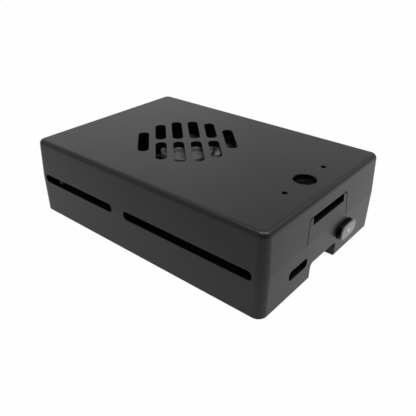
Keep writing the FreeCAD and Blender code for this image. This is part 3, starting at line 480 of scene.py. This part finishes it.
# Distances from a port's mouth, its middle or its floor
PORT_TONGUE_RISES = (3.7, 12.0)
PORT_CONTACT_SHIFTS = (-3.5, -1.0, 1.0, 3.5)
PORT_CONTACT_REACH = (2.4, 9.5)
PORT_CONTACT_HALF = 0.5
PORT_CONTACT_FACES = (-0.12, 0.02)
PORT_MOUTH_TOPS = (6.3, 14.6)
PORT_MOUTH_FLOORS = (0.7, 9.0)
PORT_SPRING_SHIFTS = (-3.1, 3.1)
PORT_SPRING_BULGE = [(0.3, 0.05), (1.6, 0.16), (3.0, 0.34), (4.2, 0.5), (5.2, 0.34), (6.0, 0.12)]
PORT_SPRING_WIDTH, PORT_SPRING_SHEET = 2.2, 0.12

port_contacts, port_springs = bmesh.new(), bmesh.new()
for number in (1, 2):
    low, high = corners(f"data_port_{number}_shell")
    y = (low.y + high.y) / 2
    for rise in PORT_TONGUE_RISES:
        x0, x1 = [low.x + reach for reach in PORT_CONTACT_REACH]
        z0, z1 = [low.z + rise + face for face in PORT_CONTACT_FACES]
        for shift in PORT_CONTACT_SHIFTS:
            y0, y1 = y + shift - PORT_CONTACT_HALF, y + shift + PORT_CONTACT_HALF
            add_box(port_contacts, (x0, y0, z0), (x1, y1, z1))
    walls = [(top, -1) for top in PORT_MOUTH_TOPS] + [(floor, 1) for floor in PORT_MOUTH_FLOORS]
    for rise, inward in walls:
        for shift in PORT_SPRING_SHIFTS:
            path = [
                (low.x + x, y + shift, low.z + rise + inward * z)
                for x, z in PORT_SPRING_BULGE
            ]
            add_strip(port_springs, path, (0, PORT_SPRING_WIDTH, 0), PORT_SPRING_SHEET)
piece("data_port_contacts", port_contacts, "pin_metal")
piece("data_port_springs", port_springs, "port_metal", smooth=True)

NETWORK_PITCH = 1.02
NETWORK_WIRES = 8
NETWORK_BEND = [(2.2, 11.3), (3.0, 11.0), (8.6, 8.9), (9.4, 8.9)]
NETWORK_WIRE_WIDTH, NETWORK_WIRE_THICKNESS = 0.42, 0.28
JACK_LAMP_SHIFT, JACK_LAMP_HALF = 5.4, 1.5
JACK_LAMP_REACH = (-0.03, 2)
JACK_LAMP_RISES = (1.3, 3.3)

low, high = corners("network_jack_shell")
y = (low.y + high.y) / 2
bm = bmesh.new()
for k in range(NETWORK_WIRES):
    wire_y = y + (k - (NETWORK_WIRES - 1) / 2) * NETWORK_PITCH
    path = [(low.x + x, wire_y, low.z + z) for x, z in NETWORK_BEND]
    add_strip(bm, path, (0, NETWORK_WIRE_WIDTH, 0), NETWORK_WIRE_THICKNESS)
piece("network_jack_contacts", bm, "pin_metal")
bm = bmesh.new()
x0, x1 = [low.x + reach for reach in JACK_LAMP_REACH]
z0, z1 = [low.z + rise for rise in JACK_LAMP_RISES]
for side in (-1, 1):
    centre = y + side * JACK_LAMP_SHIFT
    add_box(bm, (x0, centre - JACK_LAMP_HALF, z0), (x1, centre + JACK_LAMP_HALF, z1))
piece("network_jack_lamps", bm, "led_plastic")

CONTACT_SKIN = 0.02
CONTACT_SET_BACK = 0.3
VIDEO_CONTACTS, VIDEO_CONTACT_PITCH = 9, 0.44
VIDEO_CONTACT_HALF, VIDEO_CONTACT_END = 0.1, 4.0
INLET_CONTACTS, INLET_CONTACT_PITCH = 8, 0.72
INLET_CONTACT_HALF, INLET_CONTACT_END = 0.16, 3.6

tongue_contacts = bmesh.new()
for number in (1, 2):
    low, high = corners(f"video_port_{number}_tongue")
    y0, y1 = high.y - VIDEO_CONTACT_END, high.y - CONTACT_SET_BACK
    for k in range(VIDEO_CONTACTS):
        x = (low.x + high.x) / 2 + (k - (VIDEO_CONTACTS - 1) / 2) * VIDEO_CONTACT_PITCH
        x0, x1 = x - VIDEO_CONTACT_HALF, x + VIDEO_CONTACT_HALF
        for z in (low.z, high.z):
            add_box(tongue_contacts, (x0, y0, z - CONTACT_SKIN), (x1, y1, z + CONTACT_SKIN))
low, high = corners("power_inlet_tongue")
x0, x1 = high.x - INLET_CONTACT_END, high.x - CONTACT_SET_BACK
for k in range(INLET_CONTACTS):
    y = (low.y + high.y) / 2 + (k - (INLET_CONTACTS - 1) / 2) * INLET_CONTACT_PITCH
    y0, y1 = y - INLET_CONTACT_HALF, y + INLET_CONTACT_HALF
    for z in (low.z, high.z):
        add_box(tongue_contacts, (x0, y0, z - CONTACT_SKIN), (x1, y1, z + CONTACT_SKIN))
piece("tongue_contacts", tongue_contacts, "pin_metal")

SOUND_RING = [(1.78, 0), (1.78, 1.98), (2.5, 1.98), (2.5, 1.9)]
SOUND_RING_SET_BACK = 2.0
low, high = corners("sound_jack")
x, z = (low.x + high.x) / 2, (low.z + high.z) / 2
bm = bmesh.new()
add_turned(bm, (x, high.y - SOUND_RING_SET_BACK, z), (0, 1, 0), SOUND_RING)
piece("sound_jack_ring", bm, "port_metal", smooth=True)



# Small parts and solder joints on the board

board_low, board_high = corners("main_board")
LARGE = ("upper_shell", "lower_shell", "main_board", "fan_frame", "fan_rotor")
PLACE_PITCH = 3.2
PLACE_DRIFT = 0.8
PLACE_SHARE = 0.55
ROOM_ROUND_NODES = 1.0
ROOM_AT_EDGE = 2
ROOM_AT_SCREWS = 5
ROLL_STEPS = 97


def footprints(z0, z1, margin):
    """Rectangles of the nodes that reach into a height band."""
    for name in [name for name in nodes if name not in LARGE]:
        low, high = corners(name)
        if low.z < z1 and high.z > z0:
            yield low.x - margin, high.x + margin, low.y - margin, high.y + margin


def free_places(z0, z1):
    """Places in an uneven grid over the board that no other piece stands on."""
    taken = list(footprints(z0, z1, ROOM_ROUND_NODES))
    for i in range(int((board_high.x - board_low.x) / PLACE_PITCH)):
        for j in range(int((board_high.y - board_low.y) / PLACE_PITCH)):
            roll = (i * 7919 + j * 104729 + i * j * 31) % ROLL_STEPS / ROLL_STEPS
            x = board_low.x + PLACE_PITCH * (i + 0.5) + (roll - 0.5) * PLACE_DRIFT
            y = board_low.y + PLACE_PITCH * (j + 0.5) + (roll * 7 % 1 - 0.5) * PLACE_DRIFT
            clear = not any(a < x < b and c < y < d for a, b, c, d in taken)
            from_edge = min(x - board_low.x, board_high.x - x, y - board_low.y, board_high.y - y)
            from_screws = min(math.hypot(x - a, y - b) for a, b in screw_places)
            roomy = from_edge > ROOM_AT_EDGE and from_screws > ROOM_AT_SCREWS
            if clear and roomy and roll < PLACE_SHARE:
                yield x, y, roll


def add_small_part(bodies, ends, x, y, z0, z1, lengthwise):
    """Small part with a tinned end at each side, along X or along Y."""
    half, end_half, end_shift = (0.6, 0.3), (0.14, 0.31), (0.72, 0.0)
    if not lengthwise:
        half, end_half, end_shift = half[::-1], end_half[::-1], end_shift[::-1]
    add_box(bodies, (x - half[0], y - half[1], z0), (x + half[0], y + half[1], z1))
    for side in (-1, 1):
        cx, cy = x + side * end_shift[0], y + side * end_shift[1]
        low = (cx - end_half[0], cy - end_half[1], z0)
        add_box(ends, low, (cx + end_half[0], cy + end_half[1], z1))


SMALL_PART_HEIGHT = 0.5
LENGTHWISE_SHARE = 0.28
bodies, ends = bmesh.new(), bmesh.new()
for face, up in ((board_high.z, 1), (board_low.z, -1)):
    band = sorted((face, face + up))
    z0, z1 = sorted((face, face + up * SMALL_PART_HEIGHT))
    for x, y, roll in free_places(*band):
        add_small_part(bodies, ends, x, y, z0, z1, roll < LENGTHWISE_SHARE)
piece("board_small_parts", bodies, "chip_plastic")
piece("board_small_part_ends", ends, "can_metal")

HEADER_PITCH = 2.54
HEADER_JOINT = [(0.85, 0), (0.6, 0.25), (0.36, 0.7), (0, 1.1)]
PORT_JOINT = [(0.8, 0), (0.55, 0.25), (0.3, 0.6), (0, 0.9)]
PORT_JOINT_ROWS = 5
PORT_JOINT_START, PORT_JOINT_PITCH = 5, 2.2
PORT_JOINT_INSET, PORT_JOINT_SHIFT = 1.0, 2.5
DOWN = (0, 0, -1)
JOINT_SIDES = 12

low, high = corners("header_base")
bm = bmesh.new()
columns = round((high.x - low.x) / HEADER_PITCH)
for column in range(columns):
    for row in (-0.5, 0.5):
        x = (low.x + high.x) / 2 + (column - (columns - 1) / 2) * HEADER_PITCH
        y = (low.y + high.y) / 2 + row * HEADER_PITCH
        add_turned(bm, (x, y, board_low.z), DOWN, HEADER_JOINT, JOINT_SIDES)
for node in ("network_jack_shell", "data_port_1_shell", "data_port_2_shell"):
    low, high = corners(node)
    middle = (low.y + high.y) / 2
    joint_rows = (
        low.y + PORT_JOINT_INSET, middle - PORT_JOINT_SHIFT,
        middle + PORT_JOINT_SHIFT, high.y - PORT_JOINT_INSET,
    )
    for step in range(PORT_JOINT_ROWS):
        x = low.x + PORT_JOINT_START + step * PORT_JOINT_PITCH
        for y in joint_rows:
            add_turned(bm, (x, y, board_low.z), DOWN, PORT_JOINT, JOINT_SIDES)
piece("solder_joints", bm, "can_metal", smooth=True)



# Stage, lamps and camera

PAPER = (0.6, 0.6, 0.6, 1)


def stage_material(name, lit_share, tones):
    """Paper with this share of white for the camera.

    In reflections the share of white follows the tones, as (Y in metres, share).
    """
    m = bpy.data.materials.new(name)
    m.use_nodes = True
    n, links = m.node_tree.nodes, m.node_tree.links
    n.clear()
    out = n.new("ShaderNodeOutputMaterial")
    paper = n.new("ShaderNodeBsdfDiffuse")
    paper.inputs["Color"].default_value = PAPER
    white = n.new("ShaderNodeEmission")
    rays = n.new("ShaderNodeLightPath")
    mirrored = n.new("ShaderNodeMath")
    mirrored.operation = "MAXIMUM"
    links.new(rays.outputs["Is Glossy Ray"], mirrored.inputs[0])
    links.new(rays.outputs["Is Transmission Ray"], mirrored.inputs[1])
    place = n.new("ShaderNodeNewGeometry")
    split = n.new("ShaderNodeSeparateXYZ")
    links.new(place.outputs["Position"], split.inputs[0])
    first, last = tones[0][0], tones[-1][0]
    along = n.new("ShaderNodeMapRange")
    along.inputs["From Min"].default_value = first
    along.inputs["From Max"].default_value = last
    links.new(split.outputs["Y"], along.inputs["Value"])
    fade = n.new("ShaderNodeValToRGB")
    points = fade.color_ramp.elements
    points[0].color = (*[tones[0][1]] * 3, 1)
    points[1].color = (*[tones[-1][1]] * 3, 1)
    for y, share in tones[1:-1]:
        points.new((y - first) / (last - first)).color = (*[share] * 3, 1)
    links.new(along.outputs[0], fade.inputs["Fac"])
    dimmed = n.new("ShaderNodeMath")
    dimmed.operation = "MULTIPLY"
    links.new(fade.outputs["Color"], dimmed.inputs[1])
    links.new(mirrored.outputs[0], dimmed.inputs[0])
    share = n.new("ShaderNodeMath")
    share.operation = "MULTIPLY_ADD"
    share.inputs[1].default_value = lit_share
    links.new(rays.outputs["Is Camera Ray"], share.inputs[0])
    links.new(dimmed.outputs[0], share.inputs[2])
    mixed = n.new("ShaderNodeMixShader")
    links.new(share.outputs[0], mixed.inputs[0])
    links.new(paper.outputs[0], mixed.inputs[1])
    links.new(white.outputs[0], mixed.inputs[2])
    links.new(mixed.outputs[0], out.inputs["Surface"])
    return m


def stage_sheet(name, half_x, half_y, height, material):
    """Level rectangle of the stage round the origin."""
    signs = ((-1, -1), (1, -1), (1, 1), (-1, 1))
    mesh = bpy.data.meshes.new(name)
    mesh.from_pydata([(a * half_x, b * half_y, 0) for a, b in signs], [], [(0, 1, 2, 3)])
    mesh.materials.append(material)
    sheet = bpy.data.objects.new(name, mesh)
    sheet.location.z = height
    bpy.context.scene.collection.objects.link(sheet)


FLOOR_TONES = [(-0.09, 0.172), (-0.062, 0.265), (-0.04, 0.61), (0.02, 0.87), (0.06, 0.86)]
COVERED_TONES = [(-1, 0), (1, 0)]
floor_paper = stage_material("floor_paper", 0.98, FLOOR_TONES)
covered_paper = stage_material("covered_paper", 0, COVERED_TONES)
stage_sheet("floor", 4, 4, -0.2 * MM, floor_paper)
# Seen only through the openings, where the case keeps the light off the floor
stage_sheet("covered_floor", 43 * MM, 29 * MM, -0.1 * MM, covered_paper)


LAMP_AIM = Vector((0, 0, 0.013))


def lamp(name, place, along, size, power):
    """Panel that faces the object, with its first side along a level direction."""
    data = bpy.data.lights.new(name, "AREA")
    data.shape = "RECTANGLE"
    data.size, data.size_y = size
    data.energy = power
    away = (Vector(place) - LAMP_AIM).normalized()
    upward = away.cross(Vector(along)).normalized()
    item = bpy.data.objects.new(name, data)
    item.location = place
    item.rotation_euler = Matrix((upward.cross(away), upward, away)).transposed().to_euler()
    item.visible_camera = False
    bpy.context.scene.collection.objects.link(item)


# Place and sides in metres, power in watts. The three overhead panels follow one curved line.
LAMPS = {
    "overhead_front": ((-0.16, -0.145, 1.15), (0.888, 0.46, 0), (0.44, 0.2), 3.7),
    "overhead_middle": ((0.29, 0.25, 1.15), (0.656, 0.755, 0), (0.79, 0.2), 7.0),
    "overhead_back": ((0.6, 0.79, 1.15), (0.337, 0.941, 0), (0.86, 0.2), 1.6),
    "back_left": ((-0.9, 0.55, 0.65), (0.52, 0.85, 0), (0.9, 0.9), 0.6),
}
for name, (place, along, size, power) in LAMPS.items():
    lamp(name, place, along, size, power)

# The surroundings fall off round the front direction, between these cosines and strengths
FRONT = (0.555, -0.656, 0.512)
FALL_OFF = (0.3, 0.9, 0.6, 0.15)

world = bpy.data.worlds.new("studio")
world.use_nodes = True
wn, wl = world.node_tree.nodes, world.node_tree.links
wn.clear()
out = wn.new("ShaderNodeOutputWorld")
dim = wn.new("ShaderNodeBackground")
dim.inputs["Color"].default_value = (1, 1, 1, 1)
heading = wn.new("ShaderNodeTexCoord")
frontal = wn.new("ShaderNodeVectorMath")
frontal.operation = "DOT_PRODUCT"
frontal.inputs[1].default_value = FRONT
wl.new(heading.outputs["Generated"], frontal.inputs[0])
falling = wn.new("ShaderNodeMapRange")
falling.interpolation_type = "SMOOTHSTEP"
for key, value in zip(RANGE_SOCKETS, FALL_OFF):
    falling.inputs[key].default_value = value
wl.new(frontal.outputs["Value"], falling.inputs["Value"])
wl.new(falling.outputs[0], dim.inputs["Strength"])
bright = wn.new("ShaderNodeBackground")
bright.inputs["Color"].default_value = (1, 1, 1, 1)
bright.inputs["Strength"].default_value = 1
rays = wn.new("ShaderNodeLightPath")
blend = wn.new("ShaderNodeMixShader")
wl.new(rays.outputs["Is Camera Ray"], blend.inputs[0])
wl.new(dim.outputs[0], blend.inputs[1])
wl.new(bright.outputs[0], blend.inputs[2])
wl.new(blend.outputs[0], out.inputs["Surface"])
bpy.context.scene.world = world

# Camera that was fitted to the photograph's outline
AZIMUTH, ELEVATION, DISTANCE = math.radians(40.25), math.radians(30.775), 0.1755
camera_data = bpy.data.cameras.new("camera")
camera_data.sensor_width = 36
camera_data.lens = 43.4
camera_data.shift_x = 0.0123
camera_data.shift_y = 0.0175
camera_data.clip_start = 0.005
camera_data.clip_end = 20
camera = bpy.data.objects.new("camera", camera_data)
level = math.cos(ELEVATION)
back = Vector((math.sin(AZIMUTH) * level, -math.cos(AZIMUTH) * level, math.sin(ELEVATION)))
camera.location = back * DISTANCE
camera.rotation_mode = "QUATERNION"
camera.rotation_quaternion = (-back).to_track_quat("-Z", "Y")
bpy.context.scene.collection.objects.link(camera)
bpy.context.scene.camera = camera
bpy.context.scene.view_settings.view_transform = "Standard"
